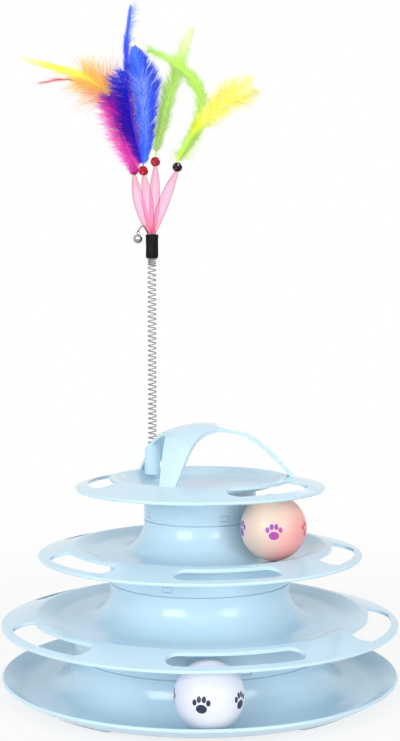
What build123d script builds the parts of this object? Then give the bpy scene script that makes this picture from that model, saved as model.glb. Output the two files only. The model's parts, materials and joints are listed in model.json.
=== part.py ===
"""Tower of stacked ball tracks for a cat, with a carry handle and a sprung feather teaser on top.

All sizes are in millimetres. The origin is on the floor, on the tower's axis; +Z is up, and the
front of the tower, where the lowest ball rests, looks along -Y. Bearings are counted in degrees
from that front, positive towards +X.
"""

import math
import os

from build123d import *

os.makedirs("parts", exist_ok=True)

# Walls and fits
WALL = 2.0
FIT_GAP = 0.2
RUNNING_GAP = 0.3
SNUG_GAP = 0.1
EDGE_ROUND = 0.7
SEAM_BEVEL = 0.8

# Balls
BALL_D = 40.0
BALL_WALL = 1.5
LOWER_BALL_BEARING = 2.8
MIDDLE_BALL_BEARING = 170.0
UPPER_BALL_BEARING = 47.0

# Tracks: a ball's clearance from its hub, and the floor beyond its middle
HUB_GAP = 5.0
BANK_REACH = 7.0
BANK_ROUND = 15.0
FLARE_R = 18.0
CREST_RISE = 4.0
CREST_ROUND = 5.0
BRIM_WIDTH = 23.3

# Hubs, from the narrow one under the top tray outwards, and how far each rises from its floor
TOP_COLLAR_R = 35.5
MIDDLE_HUB_STEP = 21.5
LOWER_HUB_STEP = 23.0
BASE_HUB_RISE = 20.6
LOWER_HUB_RISE = 22.1
MIDDLE_HUB_RISE = 19.2

# Base tray
BASE_RIM_INSET = 1.3
BASE_RIM_RISE = 7.5
FOOT_HEIGHT = 2.5
FOOT_WIDTH = 9.0
FOOT_SPAN = 24.0
FOOT_BEARING = 47.0
FOOT_COUNT = 4

# Lower tray
LOWER_BANK_RUN = 13.0
LOWER_BRIM_DROP = 6.6
LOWER_BARB_BEARING = 20.0

# Middle tray
MIDDLE_BANK_RUN = 11.5
MIDDLE_BRIM_DROP = 5.8
MIDDLE_BARB_BEARING = -20.0

# Top tray
TOP_BOWL_MARGIN = 9.0
TOP_BANK_RUN = 9.5
TOP_CREST_RISE = 4.7
TOP_BRIM_WIDTH = 25.0
TOP_BRIM_DROP = 6.3
TOP_BARB_BEARING = 25.0

# Paw slots in the brims: the band left inside and outside each slot, and the slot's arc
SLOT_INSET = 4.3
SLOT_BAND = 4.8
SLOT_SPAN = 40.8
SLOT_PITCH = 64.6
SLOT_BEARING = 10.6
TOP_SLOT_INSET = 2.8
TOP_SLOT_BAND = 7.9
TOP_SLOT_SPAN = 61.0
TOP_SLOT_BEARINGS = (44.5, 169.5, -91.5)

# Snap joints between the trays
SPIGOT_RISE = 11.0
SPIGOT_LEDGE = 3.0
BARB_COUNT = 4
BARB_WIDTH = 5.4
BARB_HEIGHT = 3.0
BARB_RISE = 4.6

# Carry handle: a dome with straight flanks, cut to a strap on a front leg and two side legs
HANDLE_X = 2.4
HANDLE_Y = 0.6
HANDLE_OVERHANG = 3.4
HANDLE_RISE = 33.2
FLANK_SLOPE = 47.0
HANDLE_WALL = 2.2
HANDLE_SEAT = 1.8
FRONT_LEG_BEARING = -22.5
SIDE_LEG_BEARING = 115.0
LEG_WIDTH = 10.4
LEFT_FORK_R = 23.3
RIGHT_FORK_R = 10.0
REAR_FORK_R = 20.0
STRAP_ROUND = 50.0
TAB_WIDTH = 7.0
TAB_DEPTH = 5.0
TAB_THICK = 1.4

# Teaser socket and plug
TEASER_INSET = 16.6
TEASER_BEARING = 12.5
SOCKET_OD = 10.0
SOCKET_BORE = 7.6
SOCKET_FLOOR = 3.0
SOCKET_LIFT = 2.9
PLUG_HEIGHT = 8.5
PIN_HEIGHT = 8.0

# Teaser spring
SPRING_OD = 6.0
SPRING_WIRE = 0.8
SPRING_PITCH = 3.15
SPRING_OPEN_TURNS = 39
SPRING_END_PITCH = 1.25
SPRING_END_TURNS = 6

# Teaser sleeve
SLEEVE_OD = 8.4
SLEEVE_LENGTH = 17.4
SLEEVE_GRIP = 5.0
SLEEVE_TAPER = 0.6

# Beads: middles, from the middle of the sleeve's top
BEAD_D = 6.4
BEAD_BORE = 3.0
MAGENTA_BEAD = (-11.9, 6.0, 42.0)
RED_BEAD = (-5.2, -6.0, 40.4)
ROSE_BEAD = (2.2, 2.0, 47.1)
PLUM_BEAD = (16.5, -4.0, 42.9)

# Ribbons: places in the sleeve's top, and sideways bows
RIBBON_WIDTH = 6.6
RIBBON_THICK = 0.5
RIBBON_END = 1.0
RIBBON_BELLY = 0.55
RIBBON_GRIP = 4.0
RIBBON_TUCK = 1.0
LEFT_RIBBON_SEAT = (0.8, 1.5)
FRONT_RIBBON_SEAT = (-0.3, -1.5)
MIDDLE_RIBBON_SEAT = (0.2, 0.5)
RIGHT_RIBBON_SEAT = (-0.4, -0.5)
LEFT_RIBBON_BOW = -2.0
FRONT_RIBBON_BOW = 0.5
MIDDLE_RIBBON_BOW = 0.3
RIGHT_RIBBON_BOW = -1.0

# Feathers: tips from the middle of the sleeve's top, sideways bows and widths
VANE_THICK = 0.7
VANE_STATIONS = 6
QUILL_D = 0.7
QUILL_STEP = 1.0
BLUE_LONG_TIP = (-13.3, 0.0, 147.4)
BLUE_LONG_BOW = -6.5
BLUE_LONG_WIDTH = 13.0
BLUE_BROAD_TIP = (-11.4, -14.0, 117.8)
BLUE_BROAD_BOW = 3.5
BLUE_BROAD_WIDTH = 23.0
MAGENTA_TIP = (-28.0, 5.0, 89.6)
MAGENTA_BOW = -0.5
MAGENTA_WIDTH = 14.0
ORANGE_TIP = (-88.8, 20.0, 118.2)
ORANGE_BOW = 22.9
ORANGE_WIDTH = 18.0
RED_TIP = (-78.8, 26.0, 100.0)
RED_BOW = 23.8
RED_WIDTH = 7.0
GREEN_TIP = (25.8, 12.0, 134.7)
GREEN_BOW = -2.5
GREEN_WIDTH = 9.0
LIME_TIP = (-3.5, 0.0, 119.1)
LIME_BOW = 26.0
LIME_WIDTH = 8.0
YELLOW_TIP = (64.2, -22.0, 91.4)
YELLOW_BOW = -7.2
YELLOW_WIDTH = 15.0

# Bell, and the wire it hangs on
BELL_D = 6.0
BELL_WALL = 0.5
BELL_SLOT = 0.9
BELL_EYE_R = 1.1
BELL_EYE_WIRE = 0.6
BELL_REACH = 9.2
PELLET_D = 1.8
BELL_WIRE_D = 0.7
LOOP_RISE = 5.5
LOOP_TOP_REACH = 5.2
LOOP_END_REACH = 7.2
LOOP_ROUND = 0.9
EYE_PIN_FRONT = 1.8
EYE_PIN_BACK = 1.6
EYE_PIN_ROUND = 0.7

# Light inside the upper ball
HOLDER_D = 15.0
HOLDER_WALL = 1.2
CELL_D = 11.6
CELL_HEIGHT = 3.0
CELL_COUNT = 3
BOARD_THICK = 1.2
LAMP_D = 3.0
LAMP_HEIGHT = 4.0
SWITCH_D = 2.4
SWITCH_HEIGHT = 5.0
BOARD_SPREAD = 3.2

# Radii that follow, from the top hub outwards
BALL_R = BALL_D / 2
TRACK_WIDTH = HUB_GAP + BALL_R + BANK_REACH
MIDDLE_COLLAR_R = TOP_COLLAR_R + MIDDLE_HUB_STEP
LOWER_COLLAR_R = MIDDLE_COLLAR_R + LOWER_HUB_STEP
TOP_BANK_R = TOP_COLLAR_R + TOP_BOWL_MARGIN
TOP_CREST_R = TOP_BANK_R + TOP_BANK_RUN
TOP_RIM_R = TOP_CREST_R + TOP_BRIM_WIDTH
MIDDLE_CREST_R = TOP_COLLAR_R + TRACK_WIDTH + MIDDLE_BANK_RUN
MIDDLE_RIM_R = MIDDLE_CREST_R + BRIM_WIDTH
LOWER_CREST_R = MIDDLE_COLLAR_R + TRACK_WIDTH + LOWER_BANK_RUN
LOWER_RIM_R = LOWER_CREST_R + BRIM_WIDTH
BASE_RIM_R = LOWER_RIM_R - BASE_RIM_INSET
HANDLE_R = TOP_CREST_R + HANDLE_OVERHANG

# Heights that follow, from the floor up
LEVEL_PITCH = BALL_D + WALL
BASE_FLOOR_Z = FOOT_HEIGHT + WALL
LOWER_FLOOR_Z = BASE_FLOOR_Z + LEVEL_PITCH
MIDDLE_FLOOR_Z = LOWER_FLOOR_Z + LEVEL_PITCH
TOP_FLOOR_Z = MIDDLE_FLOOR_Z + LEVEL_PITCH
TOP_CREST_Z = TOP_FLOOR_Z + TOP_CREST_RISE
LOWER_SEAM_Z = BASE_FLOOR_Z + BASE_HUB_RISE
MIDDLE_SEAM_Z = LOWER_FLOOR_Z + LOWER_HUB_RISE
TOP_SEAM_Z = MIDDLE_FLOOR_Z + MIDDLE_HUB_RISE
SOCKET_Z = TOP_FLOOR_Z + SOCKET_LIFT

UPWARD = (Align.CENTER, Align.CENTER, Align.MIN)
DOWNWARD = (Align.CENTER, Align.CENTER, Align.MAX)


def orbit_radius(hub_r):
    """Radius at which a ball runs round a hub."""
    return hub_r + HUB_GAP + BALL_R


def around(radius, bearing, z=0.0):
    """Point at a radius and bearing from the tower's axis."""
    angle = math.radians(bearing)
    return (radius * math.sin(angle), -radius * math.cos(angle), z)


def bearing_to_angle(bearing):
    """Angle about +Z, counted from +X, of a bearing."""
    return bearing - 90


def save(part, name):
    """Label a finished piece and write it."""
    part.label = name
    export_step(part, f"parts/{name}.step")


def wall_section(path, radii):
    """Section of a moulded wall whose upper face follows path, rounded at its outer edge."""
    with BuildSketch(Plane.XZ) as section:
        with BuildLine():
            FilletPolyline(*path, radius=radii)
            offset(amount=WALL, side=Side.RIGHT)
        make_face()
        fillet(section.vertices().sort_by(Axis.X)[-2:], EDGE_ROUND)
    return section.sketch


def track_path(hub_r, seam_z, floor_z):
    """Upper face of a track from its hub's seam to the start of its bank."""
    return [(hub_r, seam_z), (hub_r, floor_z), (hub_r + TRACK_WIDTH, floor_z)]


def flare_radius(hub_rise):
    """Radius of the flare at a hub's foot, which stays below the hub's seam."""
    return min(FLARE_R, hub_rise - WALL / 2)


def spigot_section(hub_r, seam_z):
    """Section of the spigot on top of a hub, which the next tray's collar slides over."""
    outer = hub_r - WALL - FIT_GAP
    inner = outer - WALL
    with BuildSketch(Plane.XZ) as section:
        with BuildLine():
            Polyline(
                (inner, seam_z - SPIGOT_LEDGE),
                (hub_r, seam_z - SPIGOT_LEDGE),
                (hub_r, seam_z),
                (outer, seam_z),
                (outer, seam_z + SPIGOT_RISE),
                (inner, seam_z + SPIGOT_RISE),
                close=True,
            )
        make_face()
    return section.sketch


def collar_section(collar_r, seam_z, floor_z):
    """Section of the collar under a tray, bevelled where it meets the hub below."""
    with BuildSketch(Plane.XZ) as section:
        with BuildLine():
            Polyline(
                (collar_r - WALL, seam_z),
                (collar_r - SEAM_BEVEL, seam_z),
                (collar_r, seam_z + SEAM_BEVEL),
                (collar_r, floor_z - WALL / 2),
                (collar_r - WALL, floor_z - WALL / 2),
                close=True,
            )
        make_face()
    return section.sketch


def snap_barbs(collar_r, seam_z, bearing):
    """Barbs on a spigot, standing in the windows of the collar around it."""
    inner = collar_r - WALL - FIT_GAP - WALL / 2
    outer = collar_r - FIT_GAP
    with BuildPart() as blocks:
        with PolarLocations(0, BARB_COUNT, start_angle=bearing_to_angle(bearing)):
            with Locations(((inner + outer) / 2, 0, seam_z + BARB_RISE)):
                Box(outer - inner, BARB_WIDTH, BARB_HEIGHT)
    return blocks.part


def window_blocks(collar_r, seam_z, bearing):
    """Blocks that cut a collar's snap windows, clear of the barbs and of the spigot behind them."""
    depth = WALL + FIT_GAP
    with BuildPart() as blocks:
        with PolarLocations(0, BARB_COUNT, start_angle=bearing_to_angle(bearing)):
            with Locations((collar_r - WALL / 2, 0, seam_z + BARB_RISE)):
                Box(2 * depth, BARB_WIDTH + 2 * FIT_GAP, BARB_HEIGHT + 2 * FIT_GAP)
    return blocks.part


def slot_cutter(inner_r, width, span, bearings, top_z):
    """Round-ended slots along a brim, cut down from above it."""
    middle_r = inner_r + width / 2
    half_arc = span / 2 - math.degrees(math.asin(width / 2 / middle_r))
    with BuildPart() as cutter:
        with BuildSketch(Plane.XY.offset(top_z)):
            for bearing in bearings:
                start = bearing_to_angle(bearing) - half_arc
                SlotArc(CenterArc((0, 0), middle_r, start, 2 * half_arc, mode=Mode.PRIVATE), width)
        extrude(amount=-2 * BALL_R)
    return cutter.part


def brim_bearings():
    """Bearings of a brim's slots: three across the front at an even pitch, two sharing the rear."""
    rear_pitch = (360 - 2 * SLOT_PITCH) / 3
    front = [SLOT_BEARING + step * SLOT_PITCH for step in (-1, 0, 1)]
    return front + [front[-1] + rear_pitch, front[-1] + 2 * rear_pitch]


# The handle's dome stands on the top tray's crest, off the tower's axis
dome_centre = Vector(HANDLE_X, HANDLE_Y, TOP_CREST_Z)
dome_axis = Axis(dome_centre, (0, 0, 1))
left_leg = FRONT_LEG_BEARING - SIDE_LEG_BEARING
right_leg = FRONT_LEG_BEARING + SIDE_LEG_BEARING
leg_bearings = [left_leg, FRONT_LEG_BEARING, right_leg]
teaser = dome_centre + Vector(*around(HANDLE_R - TEASER_INSET, left_leg + TEASER_BEARING))


def dome_section(inset):
    """Half section of a solid dome, a round cap on straight flanks, with a short skirt."""
    slope = math.radians(FLANK_SLOPE)
    cap_r = (HANDLE_R * math.sin(slope) - HANDLE_RISE * math.cos(slope)) / (1 - math.cos(slope))
    with BuildSketch(Plane(dome_centre, x_dir=(1, 0, 0), z_dir=(0, -1, 0))) as section:
        with BuildLine():
            cap = CenterArc((0, HANDLE_RISE - cap_r), cap_r - inset, 90 - FLANK_SLOPE, FLANK_SLOPE)
            foot_x = HANDLE_R - inset / math.sin(slope)
            Polyline(cap @ 1, (0, -HANDLE_SEAT), (foot_x, -HANDLE_SEAT), (foot_x, 0), cap @ 0)
        make_face()
    return section.sketch


def beyond(start, end):
    """Point a little past end on the line from start, outside the dome."""
    reach = HANDLE_WALL / math.dist(start, end)
    return (end[0] + (end[0] - start[0]) * reach, end[1] + (end[1] - start[1]) * reach)


def strap_outline():
    """Corners of the strap's plan from the dome's centre: two for each leg and a fork after it."""
    half_leg = math.degrees(math.asin(LEG_WIDTH / 2 / HANDLE_R))
    next_legs = [FRONT_LEG_BEARING, right_leg, left_leg + 360]
    fork_radii = [LEFT_FORK_R, RIGHT_FORK_R, REAR_FORK_R]
    forks = []
    for leg, after, fork_r in zip(leg_bearings, next_legs, fork_radii):
        forks.append(around(fork_r, (leg + after) / 2)[:2])
    corners = []
    for i, leg in enumerate(leg_bearings):
        corners.append(beyond(forks[i - 1], around(HANDLE_R, leg - half_leg)[:2]))
        corners.append(beyond(forks[i], around(HANDLE_R, leg + half_leg)[:2]))
        corners.append(forks[i])
    return corners


def handle_tabs(clearance):
    """Tabs under the handle's three legs, or with clearance the slots they push into."""
    top = TAB_THICK / 2
    height = TAB_DEPTH + top
    with BuildPart() as tabs:
        for leg in leg_bearings:
            with Locations(Plane(dome_centre).rotated((0, 0, bearing_to_angle(leg)))):
                with Locations((HANDLE_R - HANDLE_WALL, 0, top - height / 2)):
                    Box(TAB_THICK + 2 * clearance, TAB_WIDTH + 2 * clearance, height + 2 * clearance)
    return tabs.part


# Base tray: the lowest track and its hub
with BuildPart() as base_tray:
    base_path = track_path(LOWER_COLLAR_R, LOWER_SEAM_Z, BASE_FLOOR_Z)
    base_path.append((BASE_RIM_R, BASE_FLOOR_Z + BASE_RIM_RISE))
    revolve(wall_section(base_path, [flare_radius(BASE_HUB_RISE), BANK_ROUND]), axis=Axis.Z)
    revolve(spigot_section(LOWER_COLLAR_R, LOWER_SEAM_Z), axis=Axis.Z)
    add(snap_barbs(LOWER_COLLAR_R, LOWER_SEAM_Z, LOWER_BARB_BEARING))
save(base_tray.part, "base_tray")

# Lower tray
slot_width = BRIM_WIDTH - SLOT_INSET - SLOT_BAND
with BuildPart() as lower_tray:
    lower_path = track_path(MIDDLE_COLLAR_R, MIDDLE_SEAM_Z, LOWER_FLOOR_Z)
    lower_path.append((LOWER_CREST_R, LOWER_FLOOR_Z + CREST_RISE))
    lower_path.append((LOWER_RIM_R, LOWER_FLOOR_Z + CREST_RISE - LOWER_BRIM_DROP))
    lower_radii = [flare_radius(LOWER_HUB_RISE), BANK_ROUND, CREST_ROUND]
    revolve(wall_section(lower_path, lower_radii), axis=Axis.Z)
    revolve(collar_section(LOWER_COLLAR_R, LOWER_SEAM_Z, LOWER_FLOOR_Z), axis=Axis.Z)
    revolve(spigot_section(MIDDLE_COLLAR_R, MIDDLE_SEAM_Z), axis=Axis.Z)
    add(snap_barbs(MIDDLE_COLLAR_R, MIDDLE_SEAM_Z, MIDDLE_BARB_BEARING))
    add(window_blocks(LOWER_COLLAR_R, LOWER_SEAM_Z, LOWER_BARB_BEARING), mode=Mode.SUBTRACT)
    lower_slot_r = LOWER_CREST_R + SLOT_INSET
    lower_slots = slot_cutter(lower_slot_r, slot_width, SLOT_SPAN, brim_bearings(), LOWER_FLOOR_Z + BALL_R)
    add(lower_slots, mode=Mode.SUBTRACT)
save(lower_tray.part, "lower_tray")

# Middle tray
with BuildPart() as middle_tray:
    middle_path = track_path(TOP_COLLAR_R, TOP_SEAM_Z, MIDDLE_FLOOR_Z)
    middle_path.append((MIDDLE_CREST_R, MIDDLE_FLOOR_Z + CREST_RISE))
    middle_path.append((MIDDLE_RIM_R, MIDDLE_FLOOR_Z + CREST_RISE - MIDDLE_BRIM_DROP))
    middle_radii = [flare_radius(MIDDLE_HUB_RISE), BANK_ROUND, CREST_ROUND]
    revolve(wall_section(middle_path, middle_radii), axis=Axis.Z)
    revolve(collar_section(MIDDLE_COLLAR_R, MIDDLE_SEAM_Z, MIDDLE_FLOOR_Z), axis=Axis.Z)
    revolve(spigot_section(TOP_COLLAR_R, TOP_SEAM_Z), axis=Axis.Z)
    add(snap_barbs(TOP_COLLAR_R, TOP_SEAM_Z, TOP_BARB_BEARING))
    add(window_blocks(MIDDLE_COLLAR_R, MIDDLE_SEAM_Z, MIDDLE_BARB_BEARING), mode=Mode.SUBTRACT)
    middle_slot_r = MIDDLE_CREST_R + SLOT_INSET
    middle_slots = slot_cutter(middle_slot_r, slot_width, SLOT_SPAN, brim_bearings(), MIDDLE_FLOOR_Z + BALL_R)
    add(middle_slots, mode=Mode.SUBTRACT)
save(middle_tray.part, "middle_tray")

# Top tray: slotted disc with a shallow bowl, and slots for the handle's tabs
with BuildPart() as top_tray:
    top_path = [
        (0, TOP_FLOOR_Z),
        (TOP_BANK_R, TOP_FLOOR_Z),
        (TOP_CREST_R, TOP_CREST_Z),
        (TOP_RIM_R, TOP_CREST_Z - TOP_BRIM_DROP),
    ]
    top_section = wall_section(top_path, [BANK_ROUND, CREST_ROUND])
    revolve(top_section, axis=Axis.Z)
    revolve(collar_section(TOP_COLLAR_R, TOP_SEAM_Z, TOP_FLOOR_Z), axis=Axis.Z)
    add(window_blocks(TOP_COLLAR_R, TOP_SEAM_Z, TOP_BARB_BEARING), mode=Mode.SUBTRACT)
    top_slot_r = TOP_CREST_R + TOP_SLOT_INSET
    top_slot_width = TOP_BRIM_WIDTH - TOP_SLOT_INSET - TOP_SLOT_BAND
    top_slots = slot_cutter(top_slot_r, top_slot_width, TOP_SLOT_SPAN, TOP_SLOT_BEARINGS, TOP_CREST_Z)
    add(top_slots, mode=Mode.SUBTRACT)
    add(handle_tabs(FIT_GAP), mode=Mode.SUBTRACT)
save(top_tray.part, "top_tray")

# Carry handle: a domed strap on three legs, with the teaser's socket post under the left leg
with BuildPart() as socket_post:
    revolve(dome_section(0), axis=dome_axis)
    with Locations((teaser.X, teaser.Y, SOCKET_Z)):
        Cylinder(SOCKET_OD / 2, HANDLE_RISE + TOP_CREST_RISE, align=UPWARD, mode=Mode.INTERSECT)

with BuildPart() as carry_handle:
    revolve(dome_section(0), axis=dome_axis)
    revolve(dome_section(HANDLE_WALL), axis=dome_axis, mode=Mode.SUBTRACT)
    with BuildSketch(Plane(dome_centre).offset(-HANDLE_SEAT)) as strap:
        with BuildLine():
            Polyline(*strap_outline(), close=True)
        make_face()
        fillet(strap.vertices().sort_by_distance((0, 0, 0))[: len(leg_bearings)], STRAP_ROUND)
    extrude(amount=HANDLE_SEAT + 2 * HANDLE_RISE, mode=Mode.INTERSECT)
    add(socket_post.part)
    revolve(top_section, axis=Axis.Z, mode=Mode.SUBTRACT)
    add(handle_tabs(0))
    with Locations((teaser.X, teaser.Y, SOCKET_Z + SOCKET_FLOOR)):
        Cylinder(SOCKET_BORE / 2, HANDLE_RISE + TOP_CREST_RISE, align=UPWARD, mode=Mode.SUBTRACT)
save(carry_handle.part, "carry_handle")

# Rubber feet: curved pads under the base track
with BuildPart() as rubber_feet:
    foot_r = LOWER_COLLAR_R + flare_radius(BASE_HUB_RISE) + FOOT_WIDTH / 2
    with BuildSketch():
        for foot in range(FOOT_COUNT):
            start = bearing_to_angle(FOOT_BEARING + foot * 360 / FOOT_COUNT) - FOOT_SPAN / 2
            SlotArc(CenterArc((0, 0), foot_r, start, FOOT_SPAN, mode=Mode.PRIVATE), FOOT_WIDTH)
    extrude(amount=FOOT_HEIGHT)
save(rubber_feet.part, "rubber_feet")


def ball_centre(hub_r, bearing, floor_z):
    """Centre of a ball standing on its track."""
    return around(orbit_radius(hub_r), bearing, floor_z + RUNNING_GAP + BALL_R)


def half_shell(centre, start_angle):
    """Half of a hollow ball, its section swept from start_angle through a quarter circle."""
    with BuildPart() as shell:
        with BuildSketch(Plane(centre, x_dir=(1, 0, 0), z_dir=(0, -1, 0))):
            with BuildLine():
                outer = CenterArc((0, 0), BALL_R, start_angle, 90)
                inner = CenterArc((0, 0), BALL_R - BALL_WALL, start_angle, 90)
                Line(outer @ 0, inner @ 0)
                Line(outer @ 1, inner @ 1)
            make_face()
        revolve(axis=Axis(centre, (0, 0, 1)))
    return shell.part


balls = {
    "lower_ball": ball_centre(LOWER_COLLAR_R, LOWER_BALL_BEARING, BASE_FLOOR_Z),
    "middle_ball": ball_centre(MIDDLE_COLLAR_R, MIDDLE_BALL_BEARING, LOWER_FLOOR_Z),
    "upper_ball": ball_centre(TOP_COLLAR_R, UPPER_BALL_BEARING, MIDDLE_FLOOR_Z),
}
for ball_name, centre in balls.items():
    save(half_shell(centre, 0), f"{ball_name}_top_shell")
    save(half_shell(centre, -90), f"{ball_name}_bottom_shell")

# Light inside the upper ball: a holder in the bottom shell, with cells, board, lamp and switch
light_x, light_y, light_z = balls["upper_ball"]
shell_inner_r = BALL_R - BALL_WALL
HOLDER_Z = light_z - math.sqrt(shell_inner_r**2 - (HOLDER_D / 2) ** 2) + SNUG_GAP
HOLDER_HEIGHT = HOLDER_WALL + CELL_COUNT * (CELL_HEIGHT + SNUG_GAP)
BOARD_Z = HOLDER_Z + HOLDER_HEIGHT + SNUG_GAP
BOARD_TOP_Z = BOARD_Z + BOARD_THICK

with BuildPart() as light_holder:
    with BuildSketch(Plane.XY.offset(HOLDER_Z)):
        with Locations((light_x, light_y)):
            Circle(HOLDER_D / 2)
    extrude(amount=HOLDER_HEIGHT)
    with BuildSketch(Plane.XY.offset(HOLDER_Z + HOLDER_WALL)):
        with Locations((light_x, light_y)):
            Circle(CELL_D / 2 + FIT_GAP)
    extrude(amount=HOLDER_HEIGHT, mode=Mode.SUBTRACT)
save(light_holder.part, "light_holder")

with BuildPart() as button_cells:
    for cell in range(CELL_COUNT):
        cell_z = HOLDER_Z + HOLDER_WALL + SNUG_GAP / 2 + cell * (CELL_HEIGHT + SNUG_GAP)
        with BuildSketch(Plane.XY.offset(cell_z)):
            with Locations((light_x, light_y)):
                Circle(CELL_D / 2)
        extrude(amount=CELL_HEIGHT)
save(button_cells.part, "button_cells")

with BuildPart() as light_board:
    with BuildSketch(Plane.XY.offset(BOARD_Z)):
        with Locations((light_x, light_y)):
            Circle(HOLDER_D / 2 - SNUG_GAP)
    extrude(amount=BOARD_THICK)
save(light_board.part, "light_board")

with BuildPart() as light_lamp:
    with BuildSketch(Plane.XY.offset(BOARD_TOP_Z)):
        with Locations((light_x + BOARD_SPREAD, light_y)):
            Circle(LAMP_D / 2)
    extrude(amount=LAMP_HEIGHT)
    fillet(light_lamp.edges().group_by(Axis.Z)[-1], LAMP_D / 3)
save(light_lamp.part, "light_lamp")

with BuildPart() as motion_switch:
    with BuildSketch(Plane.XY.offset(BOARD_TOP_Z)):
        with Locations((light_x - BOARD_SPREAD, light_y)):
            Circle(SWITCH_D / 2)
    extrude(amount=SWITCH_HEIGHT)
save(motion_switch.part, "motion_switch")

# Teaser plug: a stepped pin in the socket, whose thin end holds the spring
PLUG_Z = SOCKET_Z + SOCKET_FLOOR + SNUG_GAP
PLUG_SHOULDER_Z = PLUG_Z + PLUG_HEIGHT
with BuildPart() as teaser_plug:
    with BuildSketch(Plane.XY.offset(PLUG_Z)):
        with Locations((teaser.X, teaser.Y)):
            Circle(SOCKET_BORE / 2 - SNUG_GAP)
    extrude(amount=PLUG_HEIGHT)
    with BuildSketch(Plane.XY.offset(PLUG_SHOULDER_Z)):
        with Locations((teaser.X, teaser.Y)):
            Circle(SPRING_OD / 2 - SPRING_WIRE - FIT_GAP)
    extrude(amount=PIN_HEIGHT)
save(teaser_plug.part, "teaser_plug")

# Teaser spring: open turns with close turns at the top, as half-turn biarcs
SPRING_Z = PLUG_SHOULDER_Z + SNUG_GAP + SPRING_WIRE
SPRING_R = (SPRING_OD - SPRING_WIRE) / 2
open_halves = 2 * SPRING_OPEN_TURNS
spring_halves = open_halves + 2 * SPRING_END_TURNS


def spring_height(half_turn):
    """Height of the wire's centre after a number of half turns."""
    open_part = min(half_turn, open_halves) * SPRING_PITCH / 2
    close_part = max(half_turn - open_halves, 0) * SPRING_END_PITCH / 2
    return SPRING_Z + open_part + close_part


def spring_point(half_turn):
    """Point of the wire's centre line."""
    angle = math.pi * half_turn
    return Vector(
        teaser.X + SPRING_R * math.cos(angle),
        teaser.Y + SPRING_R * math.sin(angle),
        spring_height(half_turn),
    )


def spring_direction(half_turn):
    """Direction of the wire, from the climb of the half turns on either side."""
    angle = math.pi * half_turn
    climb = (spring_height(half_turn + 1) - spring_height(half_turn - 1)) / (2 * math.pi)
    return Vector(-SPRING_R * math.sin(angle), SPRING_R * math.cos(angle), climb).normalized()


def biarc_joint(start, start_dir, end, end_dir):
    """Point and direction where the two arcs of a biarc meet."""
    chord = end - start
    both = start_dir + end_dir
    spread = 2 * (1 - start_dir.dot(end_dir))
    along = chord.dot(both)
    reach = (math.sqrt(along**2 + spread * chord.dot(chord)) - along) / spread
    first = start + start_dir * reach
    second = end - end_dir * reach
    return (first + second) / 2, (second - first).normalized()


def spring_self_gap():
    """Least gap between one turn of the wire and the next, measured on points."""
    fineness = 8
    wire_points = [spring_point(step / fineness) for step in range(fineness * spring_halves + 1)]
    nearest = fineness * 3 // 2
    furthest = fineness * 5 // 2
    distances = []
    for i, point in enumerate(wire_points):
        for other in wire_points[i + nearest : i + furthest]:
            distances.append((point - other).length)
    return min(distances) - SPRING_WIRE


with BuildPart() as teaser_spring:
    with BuildLine():
        for half in range(spring_halves):
            arc_start, arc_end = spring_point(half), spring_point(half + 1)
            start_dir, end_dir = spring_direction(half), spring_direction(half + 1)
            joint, joint_dir = biarc_joint(arc_start, start_dir, arc_end, end_dir)
            TangentArc(arc_start, joint, tangent=start_dir)
            TangentArc(joint, arc_end, tangent=joint_dir)
    with BuildSketch(Plane(spring_point(0), z_dir=spring_direction(0))):
        Circle(SPRING_WIRE / 2)
    sweep()
save(teaser_spring.part, "teaser_spring")
print(f"spring: {SPRING_OPEN_TURNS + SPRING_END_TURNS} turns, least gap {spring_self_gap():.2f} mm")

# Teaser sleeve: grips the spring's close turns below and the ribbons and bell wire above
SLEEVE_Z = spring_height(spring_halves) - SLEEVE_GRIP
SLEEVE_TOP_Z = SLEEVE_Z + SLEEVE_LENGTH
with BuildPart() as teaser_sleeve:
    with BuildSketch(Plane.XY.offset(SLEEVE_Z)):
        with Locations((teaser.X, teaser.Y)):
            Circle(SLEEVE_OD / 2)
            Circle(SPRING_OD / 2 + RUNNING_GAP, mode=Mode.SUBTRACT)
    extrude(amount=SLEEVE_LENGTH)
    lower_edges = teaser_sleeve.edges().group_by(Axis.Z)[0]
    chamfer(lower_edges.sort_by(SortBy.RADIUS)[-1], SLEEVE_TAPER)
save(teaser_sleeve.part, "teaser_sleeve")

sleeve_top = Vector(teaser.X, teaser.Y, SLEEVE_TOP_Z)


def leaf_half_width(share, width, belly, end_width):
    """Half the width of a leaf at a share of its length, widest at belly."""
    rise = (share / belly) ** (2 * belly)
    fall = ((1 - share) / (1 - belly)) ** (2 * (1 - belly))
    return end_width / 2 + (width - end_width) / 2 * rise * fall


def leaf_plate(start, end, bow, width, belly, end_width, thick):
    """Thin leaf from start to end, its spine bowed sideways, facing the front."""
    chord = end - start
    across = Vector(0, 1, 0).cross(chord).normalized()
    plane = Plane(start, x_dir=across, z_dir=across.cross(chord))
    shares = [station / VANE_STATIONS for station in range(VANE_STATIONS + 1)]
    left, right = [], []
    for share in shares:
        spine = 4 * bow * share * (1 - share)
        half = leaf_half_width(share, width, belly, end_width)
        left.append((spine - half, share * chord.length))
        right.append((spine + half, share * chord.length))
    with BuildPart() as leaf:
        with BuildSketch(plane):
            with BuildLine():
                Spline(*left)
                Line(left[-1], right[-1])
                Spline(*right)
                Line(right[0], left[0])
            make_face()
        extrude(amount=thick / 2, both=True)
    return leaf.part


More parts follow.
